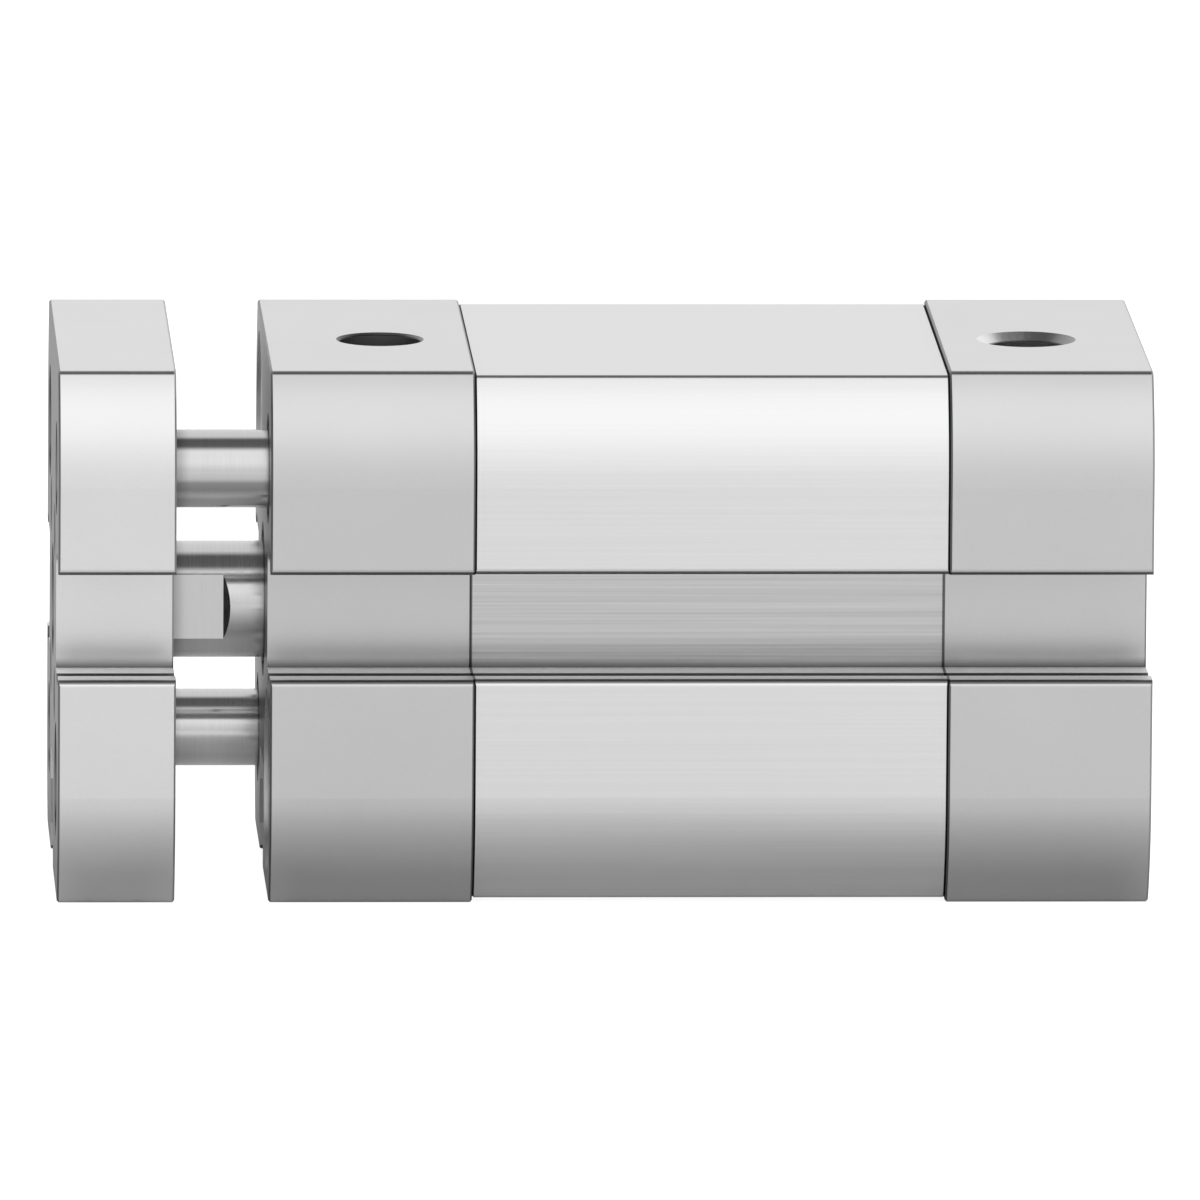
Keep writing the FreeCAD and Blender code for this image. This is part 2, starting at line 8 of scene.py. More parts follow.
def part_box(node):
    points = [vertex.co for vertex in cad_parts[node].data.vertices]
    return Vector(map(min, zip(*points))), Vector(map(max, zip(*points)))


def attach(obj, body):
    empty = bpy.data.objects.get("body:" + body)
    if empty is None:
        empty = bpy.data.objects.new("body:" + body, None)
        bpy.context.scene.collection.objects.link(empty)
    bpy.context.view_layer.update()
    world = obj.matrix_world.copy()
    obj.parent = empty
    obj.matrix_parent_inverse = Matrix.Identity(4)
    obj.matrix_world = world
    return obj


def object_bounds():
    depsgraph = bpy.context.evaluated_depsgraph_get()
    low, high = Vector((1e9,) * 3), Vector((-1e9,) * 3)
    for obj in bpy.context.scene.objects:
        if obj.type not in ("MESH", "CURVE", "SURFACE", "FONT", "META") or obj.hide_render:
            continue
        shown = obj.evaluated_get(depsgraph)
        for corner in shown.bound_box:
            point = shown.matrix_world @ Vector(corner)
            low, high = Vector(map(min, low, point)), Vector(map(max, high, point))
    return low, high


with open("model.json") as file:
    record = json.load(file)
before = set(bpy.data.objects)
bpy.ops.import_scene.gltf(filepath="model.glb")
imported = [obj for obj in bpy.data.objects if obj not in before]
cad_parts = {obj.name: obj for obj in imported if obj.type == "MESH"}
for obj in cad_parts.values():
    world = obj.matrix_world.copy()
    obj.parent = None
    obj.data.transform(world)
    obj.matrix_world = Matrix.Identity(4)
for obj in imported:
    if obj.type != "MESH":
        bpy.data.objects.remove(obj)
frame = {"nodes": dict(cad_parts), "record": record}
SIZE_AT_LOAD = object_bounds()
NODES = frame["nodes"]
MM = 0.001
SIGNS = ((1, 1), (1, -1), (-1, -1), (-1, 1))    # the corners of a square pattern

# ---- camera ------------------------------------------------------------------
VIEW_AZIMUTH = -2.474       # degrees, towards the yoke
VIEW_ELEVATION = 9.657
VIEW_ROLL = 0.397
VIEW_DISTANCE = 1.273       # metres from the point looked at
VIEW_TARGET = Vector((-27.64, 0.0, -0.08)) * MM
SENSOR_WIDTH = 36.0         # millimetres
LENS = 742.07               # millimetres

# ---- light and floor ---------------------------------------------------------
WORLD_LEVEL = 1.3
# Brightness round the long axis: degrees above the near horizon, over the top, and value.
LIGHT_BANDS = ((-180, 0.34), (-90, 0.21), (-20, 0.51), (10, 0.78), (25, 0.93), (62, 0.93),
               (76, 0.12), (104, 0.10), (118, 0.71), (165, 0.74), (180, 0.69))
FLOOR_HALF = 3.0            # metres
FLOOR_TONE = 0.34
FLOOR_GLOSS = 0.35          # roughness: a soft sheen at shallow angles
FLOOR_LIFT_CAMERA = 0.90    # white added where the camera sees the floor
FLOOR_LIFT_NEAR = 0.08      # white added in reflections, at the object's foot, where less white makes a painted shade
FLOOR_LIFT_FAR = 0.46       # and far from it
FLOOR_REACH = 10 * MM       # the lift has come most of the way at this distance
FOOT_SHORT = 1.5 * MM       # the painted shade stops this far short of the ends of the feet

# ---- machined edges, joints and holes ----------------------------------------
# A tone here is a factor on the base tone of its piece, and a turn is a part of a face normal.
EDGE_REACH = 0.45 * MM      # broken edges lie within this distance of an end face
EDGE_TURN = (0.3, 0.95)     # how far they turn along the axis
EDGE_SHADE_TONE = 0.22            # painted shade on broken edges turned to the yoke's side
EDGE_SHADE_TONE_REAR = 0.55       # painted shade on broken edges turned to the rear
CORNER_TURN = (0.66, 0.74, 0.96, 0.99)  # upwards: the rounding fades in, and out to the top face
CORNER_OUT = 0.8            # the upper corners lie beyond this share of the half width
CORNER_FADE = 0.8           # the mask is full this share of EDGE_REACH below the top
# painted shade on the rounding along the two upper corners
CORNER_SHADE_TONE = 0.38
JOINT_REACH = 0.09 * MM     # half the width of the shadow line at a joint
JOINT_CORE = 0.6            # share of that half width which is fully dark
JOINT_TONE = 0.20
SIDE_TURN = (0.2, 0.7)      # sideways: from the top face to the sides
END_TURN = (0.96, 0.99)     # along the axis: end faces
HOLE_TONE = 0.36            # the unlit wall of a tapped hole
BORE_SHADE_TONE = 0.40            # painted shade on the wall of a wider hole
WALL_REACH = (0.03 * MM, 0.06 * MM)     # a wall is dark this far outside its radius, and fades
CHAMFER_REACH = 0.7 * MM    # the chamfer of a port lies within this distance of its wall
CHAMFER_CONE = (0.2, 0.97)  # how far it turns upwards
CHAMFER_TURN = (-0.1, 0.45)     # along the axis: from the first tone below to the second
FRONT_CHAMFER_SHADE = (0.30, 0.16)    # front port: painted shade on the chamfer, its tones turned to the yoke, and away
REAR_CHAMFER_LIGHT_AND_SHADE = (0.40, 1.27)     # rear port

# ---- slots -------------------------------------------------------------------
SLOT_SHIFT = 0.8 * MM       # offset of the middle of each slot
SLOT_DEPTH = 5.5 * MM
SLOT_MOUTH_HALF = 2.7 * MM
SLOT_FLOOR_HALF = 2.95 * MM
SLOT_LIP = 1.4 * MM
SLOT_POCKET_DEPTH = 3.6 * MM
SLOT_SLACK = 0.1 * MM       # a mask of a slot reaches this far past its face
FLOOR_SLACK = 0.2 * MM      # and the mask of its floor this far past its width
POCKET_WIDE = (0.05 * MM, 1.0 * MM)     # the pocket's walls, outside the mouth
POCKET_SHADE_TONES = (0.26, 0.75)     # painted shade behind the lips of the side slots and of the bottom slot
SHOULDER_DEEP = (0.02 * MM, 0.24 * MM)  # the rounding of a lip, below the face
SHOULDER_WIDE = (0.01 * MM, 0.2 * MM)   # and outside the mouth
# painted shade on the rounding of a lip
SHOULDER_SHADE_TONE = 0.36
LEDGE_HIGHLIGHT_TONE = 1.36           # painted highlight on the ledge between the pocket and the floor of a slot
LEDGE_ROUGH = 1.7           # roughness there, as a share of the rest
FOOT_WIDTH = 0.62 * MM      # where painted shade darkens the floor of a slot towards the ledge
FOOT_SHADE_TONE = 0.26
SLOT_END_SHADE_TONE = 0.35        # painted shadow line at the sharp end of a slot's floor at a rear face

# ---- finishes ----------------------------------------------------------------
# Base tone, then its factors of painted light and shade on the sides and on the end faces.
BARREL_LOOK = (0.79, 1.05, 0.70)
CAP_LOOK = (0.72, 0.89, 0.92)
YOKE_LOOK = (0.74, 1.07, 0.68)
ROD_TONE = (0.605,) * 3
ZINC_TONE = (0.52, 0.52, 0.53)
# painted shade: the threads are toned dark for the shade inside their holes
CUT_THREAD_SHADE_TONE = (0.26,) * 3
RUBBER_TONE = (0.03,) * 3
BUFFER_TONE = (0.08, 0.08, 0.09)
BRONZE_TONE = (0.55, 0.38, 0.18)
TURNED_TONE = (0.70, 0.70, 0.71)
MAGNET_TONE = (0.07,) * 3
PLASTIC_TONE = (0.80, 0.77, 0.70)
# Cells of noise per metre along X, Y and Z.
GRAIN = (9000,) * 3
CLOUD = (160,) * 3
FINE_STREAKS = (40, 9000, 9000)
BROAD_STREAKS = (12, 1500, 1500)
ROD_RINGS = (14000, 300, 300)
MOTTLE = (1800,) * 3
TOOL_RINGS = (7000, 60, 60)
PEBBLE = 2500
MAGNET_PEBBLE = 6000
MILL_MARKS = 5200           # arcs of the face mill per metre
MILL_CENTRE = Vector((0.0, 40.0, -60.0)) * MM   # centre of the arcs
MILL_DEPTH = 3.0            # of the arcs, against the grain
END_FACE_SHADE_TINT = 0.46            # painted shade: a grey specular tint that dims the reflections of the end faces
# The painted reflection of the floor on the rods: a darker lower side and a lighter underside.
ROD_TURNS = (-0.38, -0.62)  # downwards: where the lower side of a rod ends and its underside is full
LOWER_TURNS = (0.0, -0.16)  # downwards: where the lower side of a rod begins and is full
LOWER_SHIFT = 12.0          # it begins lower on a rod that lies higher: turn per metre
LOWER_SHADE_TONE = 0.88           # painted shade on the lower side, on the axis
LOWER_FALL = 0.60           # and times this for each LOWER_RISE upwards
LOWER_RISE = 8.0 * MM
UNDER_HIGHLIGHT_TONE = 1.45           # painted highlight on the underside
YOKE_SHADE_REACH = 0.9 * MM     # the rods are shaded this far behind the yoke
YOKE_SHADE = 0.6

# ---- threads -----------------------------------------------------------------
THREAD_STEPS = 28           # per turn
RIDGE_SHIFTS = (-0.32, -0.06, 0.06, 0.32)   # wall, crest, crest and wall of the ridge, in pitches
THREAD_SINK = 0.01 * MM     # the ridge starts this far inside the wall
RIDGE = 0.14 * MM
FINE_RIDGE = 0.10 * MM
# Pitch, depth of the start and length of the threads in the ports, the rear face and the yoke.
PORT_THREAD = (0.8 * MM, 1.1 * MM, 4.6 * MM)
REAR_THREAD = (0.7 * MM, 0.6 * MM, 3.6 * MM)
YOKE_THREAD = (0.5 * MM, 0.5 * MM, 5.2 * MM)
KEY_WAY = 2.907 * MM        # radii of the yoke's wider holes
YOKE_COUNTERBORE = 2.9 * MM
GUIDE_COUNTERBORE = 2.4 * MM


# ---- node helpers ------------------------------------------------------------
def add(tree, kind, inputs=(), **settings):
    """Adds a shader node; inputs are (socket, value or output socket) pairs."""
    made = tree.nodes.new("ShaderNode" + kind)
    for key, value in settings.items():
        setattr(made, key, value)
    for key, value in inputs:
        if isinstance(value, bpy.types.NodeSocket):
            tree.links.new(value, made.inputs[key])
        else:
            made.inputs[key].default_value = value
    return made


def calc(tree, operation, *values):
    """A Math node on numbers or sockets; returns its output."""
    made = add(tree, "Math", list(enumerate(values)), operation=operation)
    return made.outputs[0]


def smooth(tree, value, low, high):
    """0 below low, 1 above high, smooth between."""
    made = add(tree, "MapRange", [("Value", value), ("From Min", low), ("From Max", high)],
               interpolation_type="SMOOTHSTEP")
    return made.outputs["Result"]


def fade(tree, mask, tone):
    """A factor that is 1 where the mask is 0 and tone where it is 1."""
    made = add(tree, "MapRange", [("Value", mask), ("To Min", 1.0), ("To Max", tone)])
    return made.outputs["Result"]


def mixed(tree, mask, low, high):
    """low where the mask is 0 and high where it is 1."""
    return add(tree, "Mix", [(0, mask), (2, low), (3, high)]).outputs[0]


def product(tree, factors):
    """All the factor sockets multiplied."""
    total = factors[0]
    for factor in factors[1:]:
        total = calc(tree, "MULTIPLY", total, factor)
    return total


def new_material(name, tone, roughness, metallic=1.0):
    mat = bpy.data.materials.new(name)
    mat.use_nodes = True
    tree = mat.node_tree
    shader = tree.nodes["Principled BSDF"]
    shader.inputs["Base Color"].default_value = (*tone, 1.0)
    shader.inputs["Roughness"].default_value = roughness
    shader.inputs["Metallic"].default_value = metallic
    return mat, tree, shader


def place(tree):
    """Object coordinates and their three parts, in metres in the shared frame."""
    coord = add(tree, "TexCoord").outputs["Object"]
    parts = add(tree, "SeparateXYZ", [(0, coord)])
    return coord, parts.outputs


def noise(tree, coord, stretch, detail=2.0):
    """Noise whose cells per metre along X, Y and Z are given by stretch."""
    scaled = add(tree, "VectorMath", [(0, coord), (1, stretch)], operation="MULTIPLY")
    made = add(tree, "TexNoise", [("Vector", scaled.outputs[0]), ("Scale", 1.0), ("Detail", detail)])
    return made.outputs["Fac"]


def tinted(tree, shader, tone, *factors):
    """Base colour: tone times every factor socket."""
    made = add(tree, "VectorMath", [(0, tone), ("Scale", product(tree, factors))], operation="SCALE")
    tree.links.new(made.outputs[0], shader.inputs["Base Color"])


def vary(tree, value, low, high):
    """Maps 0.3..0.7 of a noise to low..high."""
    made = add(tree, "MapRange", [("Value", value), ("From Min", 0.3), ("From Max", 0.7),
                                  ("To Min", low), ("To Max", high)])
    return made.outputs["Result"]


def bump(tree, shader, height, strength, distance):
    made = add(tree, "Bump", [("Height", height), ("Strength", strength), ("Distance", distance)])
    tree.links.new(made.outputs[0], shader.inputs["Normal"])


# ---- tapped holes, from the record's mounts ----------------------------------
def mount(name):
    return [m for m in frame["record"]["mounts"] if m["name"] == name][0]


def round_hole(name):
    """Centre, index of the axis and radius of a single hole."""
    found = mount(name)
    axis = max(range(3), key=lambda i: abs(found["axis"][i]))
    return Vector(found["pos_m"]), axis, found["dims"]["r_mm"] * MM


def rear_holes():
    """The square of four in the rear face."""
    found = mount("rear_threads")
    dims, centre = found["dims"], Vector(found["pos_m"])
    half_y, half_z = dims["spacing_x_mm"] * MM / 2, dims["spacing_y_mm"] * MM / 2
    return [(centre + Vector((0, sy * half_y, sz * half_z)), 0, dims["hole_r_mm"] * MM)
            for sy, sz in SIGNS]


def yoke_holes():
    """The four on a circle in the yoke."""
    found = mount("yoke_threads")
    dims, centre = found["dims"], Vector(found["pos_m"])
    reach = dims["pcd_mm"] * MM / 2 * math.sqrt(0.5)
    return [(centre + Vector((0, sy * reach, sz * reach)), 0, dims["hole_r_mm"] * MM)
            for sy, sz in SIGNS]


def screw_holes():
    """The counterbores and key holes of the yoke, round the screws they lead to."""
    holes = []
    for node, radius in (("yoke_screw", YOKE_COUNTERBORE),
                         ("guide_screw_1", GUIDE_COUNTERBORE), ("guide_screw_2", GUIDE_COUNTERBORE),
                         ("clamp_screw_1", KEY_WAY), ("clamp_screw_2", KEY_WAY)):
        low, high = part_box(node)
        holes.append(((low + high) / 2, 0, radius))
    return holes


# ---- masks for the machined aluminium pieces ---------------------------------
def facing(tree):
    """X part of the face normal, and its three absolute parts."""
    normal = add(tree, "NewGeometry").outputs["True Normal"]
    parts = add(tree, "SeparateXYZ", [(0, normal)]).outputs
    return parts[0], [calc(tree, "ABSOLUTE", parts[i]) for i in range(3)]


def end_face_mask(tree, turned):
    """1 on faces across the axis."""
    return smooth(tree, turned[0], *END_TURN)


def side_light_and_shade(tree, turned, side):
    """Painted light and shade: a factor that is side on faces turned sideways."""
    return fade(tree, smooth(tree, turned[1], *SIDE_TURN), side)


def within(tree, value, low, high):
    """1 between two limits."""
    return calc(tree, "MULTIPLY", calc(tree, "GREATER_THAN", value, low),
                calc(tree, "LESS_THAN", value, high))


def nearest_plane(tree, x, planes):
    """Distance along the axis to the nearest of some planes across it."""
    total = None
    for plane in planes:
        off = calc(tree, "ABSOLUTE", calc(tree, "SUBTRACT", x, plane))
        total = off if total is None else calc(tree, "MINIMUM", total, off)
    return total


def off_axis(tree, xyz, centre, axis):
    """Distance from the line through centre along one of the three axes."""
    squares = [calc(tree, "POWER", calc(tree, "SUBTRACT", xyz[i], centre[i]), 2.0)
               for i in range(3) if i != axis]
    return calc(tree, "SQRT", calc(tree, "ADD", *squares))


def at_planes(tree, x, planes):
    """1 in the thin line where two pieces meet."""
    return smooth(tree, nearest_plane(tree, x, planes), JOINT_REACH, JOINT_REACH * JOINT_CORE)


def edge_shade(tree, normal_x, x, planes):
    """Factor of painted shade on the small bevels round end faces, dark where they turn to the yoke's
    side.
    """
    near = calc(tree, "LESS_THAN", nearest_plane(tree, x, planes), EDGE_REACH)
    least, most = EDGE_TURN
    front = calc(tree, "MULTIPLY", near, within(tree, normal_x, -most, -least))
    rear = calc(tree, "MULTIPLY", near, within(tree, normal_x, least, most))
    return calc(tree, "MULTIPLY", fade(tree, front, EDGE_SHADE_TONE), fade(tree, rear, EDGE_SHADE_TONE_REAR))


def corner_shade(tree, turned, xyz, high):
    """Factor of painted shade on the rounding along the two upper corners."""
    begins, full, fades, ends = CORNER_TURN
    lowest, whole = high.z - EDGE_REACH, high.z - EDGE_REACH * CORNER_FADE
    near = calc(tree, "MULTIPLY", smooth(tree, xyz[2], lowest, whole),
                calc(tree, "GREATER_THAN", calc(tree, "ABSOLUTE", xyz[1]), high.y * CORNER_OUT))
    slanted = calc(tree, "MULTIPLY", smooth(tree, turned[2], begins, full),
                   smooth(tree, turned[2], ends, fades))
    return fade(tree, calc(tree, "MULTIPLY", near, slanted), CORNER_SHADE_TONE)


def joint_tone(tree, x, planes):
    """Factor for the shadow line where two pieces meet."""
    return fade(tree, at_planes(tree, x, planes), JOINT_TONE)


def hole_shade(tree, xyz, holes, tone):
    """Factor of painted shade on the walls of holes, each given as centre, index of its axis and radius.
    """
    total = None
    core, reach = WALL_REACH
    for centre, axis, radius in holes:
        mask = smooth(tree, off_axis(tree, xyz, centre, axis), radius + reach, radius + core)
        total = mask if total is None else calc(tree, "MAXIMUM", total, mask)
    return fade(tree, total, tone)


def chamfer_light_and_shade(tree, normal_x, turned, xyz, port, tones):
    """Factor of painted light and shade on the chamfer at the mouth of a port."""
    centre, axis, radius = port
    near = calc(tree, "LESS_THAN", off_axis(tree, xyz, centre, axis), radius + CHAMFER_REACH)
    cone = calc(tree, "MULTIPLY", near, within(tree, turned[axis], *CHAMFER_CONE))
    turn = add(tree, "MapRange", [("Value", normal_x),
                                  ("From Min", CHAMFER_TURN[0]), ("From Max", CHAMFER_TURN[1]),
                                  ("To Min", tones[0]), ("To Max", tones[1])])
    return mixed(tree, cone, 1.0, turn.outputs["Result"])


# ---- masks for the slots: places are (across, depth) pairs ---------------------
def slot_places(tree, xyz):
    """Distance from the slot's middle and depth below the caps: side slots, bottom slot."""
    low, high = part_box("end_cap")
    shift = calc(tree, "MULTIPLY", calc(tree, "SIGN", xyz[1]), SLOT_SHIFT)
    return ((calc(tree, "ABSOLUTE", calc(tree, "ADD", xyz[2], shift)),
             calc(tree, "SUBTRACT", high.y, calc(tree, "ABSOLUTE", xyz[1]))),
            (calc(tree, "ABSOLUTE", calc(tree, "SUBTRACT", xyz[1], SLOT_SHIFT)),
             calc(tree, "SUBTRACT", xyz[2], low.z)))


def slot_floor(tree, across, depth):
    """1 on the floor of a slot."""
    return calc(tree, "MULTIPLY", within(tree, depth, SLOT_DEPTH - SLOT_SLACK, SLOT_DEPTH + SLOT_SLACK),
                calc(tree, "LESS_THAN", across, SLOT_FLOOR_HALF + FLOOR_SLACK))


def slot_floors(tree, places):
    """1 on the floors of the slots."""
    return calc(tree, "MAXIMUM", *[slot_floor(tree, *found) for found in places])


def slot_ledge(tree, places):
    """1 on the ledges of the slots."""
    return calc(tree, "MAXIMUM", *[
        calc(tree, "MULTIPLY",
             within(tree, depth, SLOT_POCKET_DEPTH + SLOT_SLACK, SLOT_DEPTH - SLOT_SLACK),
             within(tree, across, SLOT_MOUTH_HALF, SLOT_MOUTH_HALF + POCKET_WIDE[1]))
        for across, depth in places])


def slot_foot(tree, places):
    """1 along the two feet of a slot's floor, where it meets the ledges."""
    return calc(tree, "MAXIMUM", *[
        calc(tree, "MULTIPLY", slot_floor(tree, across, depth),
             smooth(tree, across, SLOT_FLOOR_HALF - FOOT_WIDTH, SLOT_FLOOR_HALF))
        for across, depth in places])


def slot_shade_and_highlight(tree, places, inset, end_face):
    """Factor inside the slots: painted shade behind the lips and at the foot, painted highlight on the
    ledge.
    """
    pocket_deep = SLOT_LIP - SLOT_SLACK, SLOT_POCKET_DEPTH + SLOT_SLACK
    shoulder_deep = [inset + deep for deep in SHOULDER_DEEP]
    factors = []
    for (across, depth), pocket in zip(places, POCKET_SHADE_TONES):
        for deep, wide, tone in ((pocket_deep, POCKET_WIDE, pocket),
                                 (shoulder_deep, SHOULDER_WIDE, SHOULDER_SHADE_TONE)):
            mask = calc(tree, "MULTIPLY", within(tree, depth, *deep),
                        within(tree, across, *[SLOT_MOUTH_HALF + w for w in wide]))
            factors.append(fade(tree, mask, tone))
    factors.append(fade(tree, slot_foot(tree, places), FOOT_SHADE_TONE))
    factors.append(fade(tree, slot_ledge(tree, places), LEDGE_HIGHLIGHT_TONE))
    return mixed(tree, end_face, product(tree, factors), 1.0)


def slot_end_shade(tree, places, x, plane):
    """Factor of painted shade along the line where the floors of the slots end at a rear face."""
    line = calc(tree, "MULTIPLY", at_planes(tree, x, (plane,)), slot_floors(tree, places))
    return fade(tree, line, SLOT_END_SHADE_TONE)


# ---- materials ---------------------------------------------------------------
def satin_aluminium(name, node, look, ends, joints=(), tapped=(), bored=(), chamfer=None,
                    roughness=0.34):
    """Blasted and anodised: fine grain and milled end faces, with painted light and shade on the sides,
    end faces, broken edges, corners, holes, port chamfers and slots.
    """
    base, side, end = look
    tone = (base,) * 3
    mat, tree, shader = new_material(name, tone, roughness)
    coord, xyz = place(tree)
    normal_x, turned = facing(tree)
    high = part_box(node)[1]
    places = slot_places(tree, xyz)
    grain = noise(tree, coord, GRAIN, 3.0)
    cloud = noise(tree, coord, CLOUD)
    end_face = end_face_mask(tree, turned)
    edges = edge_shade(tree, normal_x, xyz[0], ends)
    if joints:
        edges = calc(tree, "MINIMUM", edges, joint_tone(tree, xyz[0], joints))
    factors = [vary(tree, grain, 0.985, 1.015), vary(tree, cloud, 0.99, 1.01), edges,
               side_light_and_shade(tree, turned, side), fade(tree, end_face, end),
               hole_shade(tree, xyz, tapped, HOLE_TONE), corner_shade(tree, turned, xyz, high),
               slot_shade_and_highlight(tree, places, 0.0, end_face), slot_end_shade(tree, places, xyz[0], ends[1])]
    if bored:
        factors.append(hole_shade(tree, xyz, bored, BORE_SHADE_TONE))
    if chamfer:
        factors.append(chamfer_light_and_shade(tree, normal_x, turned, xyz, *chamfer))
    tinted(tree, shader, tone, *factors)
    rough = calc(tree, "MULTIPLY", vary(tree, grain, roughness - 0.03, roughness + 0.03),
                 fade(tree, slot_ledge(tree, places), LEDGE_ROUGH))
    tree.links.new(rough, shader.inputs["Roughness"])
    tree.links.new(fade(tree, end_face, END_FACE_SHADE_TINT), shader.inputs["Specular Tint"])
    milled = calc(tree, "MULTIPLY", mill_marks(tree, coord), calc(tree, "MULTIPLY", end_face, MILL_DEPTH))
    bump(tree, shader, calc(tree, "ADD", grain, milled), 0.05, 0.004 * MM)
    return mat


def mill_marks(tree, coord):
    """Fine arcs round a far centre, as a face mill leaves them."""
    cutter = add(tree, "VectorMath", [(0, coord), (1, MILL_CENTRE)], operation="DISTANCE")
    marks = add(tree, "TexNoise", [("W", calc(tree, "MULTIPLY", cutter.outputs["Value"], MILL_MARKS)),
                                   ("Scale", 1.0), ("Detail", 1.0)], noise_dimensions="1D")
    return marks.outputs["Fac"]


def drawn_aluminium(name, node, look, ends, roughness=0.35):
    """Drawn profile: streaks along the axis on the sides, stronger on the floors of the slots, with
    painted light and shade on the sides, end faces, broken edges, corners and slots.
    """
    base, side, end = look
    tone = (base,) * 3
    mat, tree, shader = new_material(name, tone, roughness)
    coord, xyz = place(tree)
    normal_x, turned = facing(tree)
    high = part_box(node)[1]
    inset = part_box("end_cap")[1].y - high.y
    places = slot_places(tree, xyz)
    end_face = end_face_mask(tree, turned)
    fine = calc(tree, "MULTIPLY", noise(tree, coord, FINE_STREAKS, 3.0), 0.6)
    broad = calc(tree, "MULTIPLY", noise(tree, coord, BROAD_STREAKS), 0.4)
    calm = smooth(tree, turned[2], 0.6, 0.95)       # the top face has no streaks
    streaks = mixed(tree, calm, calc(tree, "ADD", fine, broad), 0.5)
    spread = mixed(tree, slot_floors(tree, places), vary(tree, streaks, 0.96, 1.03),
                   vary(tree, streaks, 0.66, 0.96))
    edges = calc(tree, "MINIMUM", edge_shade(tree, normal_x, xyz[0], ends), joint_tone(tree, xyz[0], ends))
    tinted(tree, shader, tone, spread, side_light_and_shade(tree, turned, side), fade(tree, end_face, end), edges,
           corner_shade(tree, turned, xyz, high), slot_shade_and_highlight(tree, places, inset, end_face))
    rough = calc(tree, "MULTIPLY", vary(tree, streaks, roughness - 0.05, roughness + 0.05),
                 fade(tree, slot_ledge(tree, places), LEDGE_ROUGH))
    tree.links.new(rough, shader.inputs["Roughness"])
    bump(tree, shader, streaks, 0.05, 0.006 * MM)
    return mat


def painted_rod_reflection(tree, normal_z, z):
    """Painted reflection of the floor on a rod: its lower side darker, more so on the rods further from
    the floor, and its underside lighter.
    """
    turn = calc(tree, "ADD", normal_z, calc(tree, "MULTIPLY", z, LOWER_SHIFT))
    under = smooth(tree, normal_z, *ROD_TURNS)
    lower = calc(tree, "MULTIPLY", smooth(tree, turn, *LOWER_TURNS), calc(tree, "SUBTRACT", 1.0, under))
    fall = calc(tree, "POWER", LOWER_FALL, calc(tree, "DIVIDE", z, LOWER_RISE))
    side = mixed(tree, lower, 1.0, calc(tree, "MULTIPLY", fall, LOWER_SHADE_TONE))
    return calc(tree, "MULTIPLY", side, fade(tree, under, UNDER_HIGHLIGHT_TONE))


def ground_steel(name, tone, yoke_face, roughness=0.13):
    """Ground and polished rod: very fine rings round the axis, shaded next to the yoke, with a painted
    reflection of the floor below.
    """
    mat, tree, shader = new_material(name, tone, roughness)
    coord, xyz = place(tree)
    rings = noise(tree, coord, ROD_RINGS)
    normal = add(tree, "NewGeometry").outputs["Normal"]
    normal_z = add(tree, "SeparateXYZ", [(0, normal)]).outputs[2]
    shade = smooth(tree, nearest_plane(tree, xyz[0], (yoke_face,)), YOKE_SHADE_REACH, 0.0)
    tinted(tree, shader, tone, vary(tree, rings, 0.97, 1.03), painted_rod_reflection(tree, normal_z, xyz[2]),
           fade(tree, shade, YOKE_SHADE))
    tree.links.new(vary(tree, rings, roughness - 0.03, roughness + 0.04), shader.inputs["Roughness"])
    bump(tree, shader, rings, 0.06, 0.002 * MM)
    return mat


def plated_steel(name, tone, roughness=0.33):
    """Screws: zinc plating with a soft mottle."""
    mat, tree, shader = new_material(name, tone, roughness)
    mottle = noise(tree, place(tree)[0], MOTTLE, 3.0)
    tinted(tree, shader, tone, vary(tree, mottle, 0.93, 1.05))
    tree.links.new(vary(tree, mottle, roughness - 0.05, roughness + 0.08), shader.inputs["Roughness"])
    bump(tree, shader, mottle, 0.10, 0.01 * MM)
    return mat


def turned_metal(name, tone, roughness=0.35):
    """Turned pieces: tool rings along the axis."""
    mat, tree, shader = new_material(name, tone, roughness)
    rings = noise(tree, place(tree)[0], TOOL_RINGS, 1.0)
    tinted(tree, shader, tone, vary(tree, rings, 0.92, 1.06))
    bump(tree, shader, rings, 0.2, 0.01 * MM)
    return mat


def moulded(name, tone, roughness=0.6, cells=PEBBLE):
    """Rubber and plastic: matt skin with a fine pebble."""
    mat, tree, shader = new_material(name, tone, roughness, metallic=0.0)
    pebble = noise(tree, place(tree)[0], (cells,) * 3, 4.0)
    tinted(tree, shader, tone, vary(tree, pebble, 0.9, 1.1))
    tree.links.new(vary(tree, pebble, roughness - 0.08, roughness + 0.08), shader.inputs["Roughness"])
    bump(tree, shader, pebble, 0.25, 0.01 * MM)
    return mat


def dress(names, mat):
    """Gives CAD nodes a finish."""
    for name in names:
        slots = NODES[name].data.materials
        slots.clear()
        slots.append(mat)


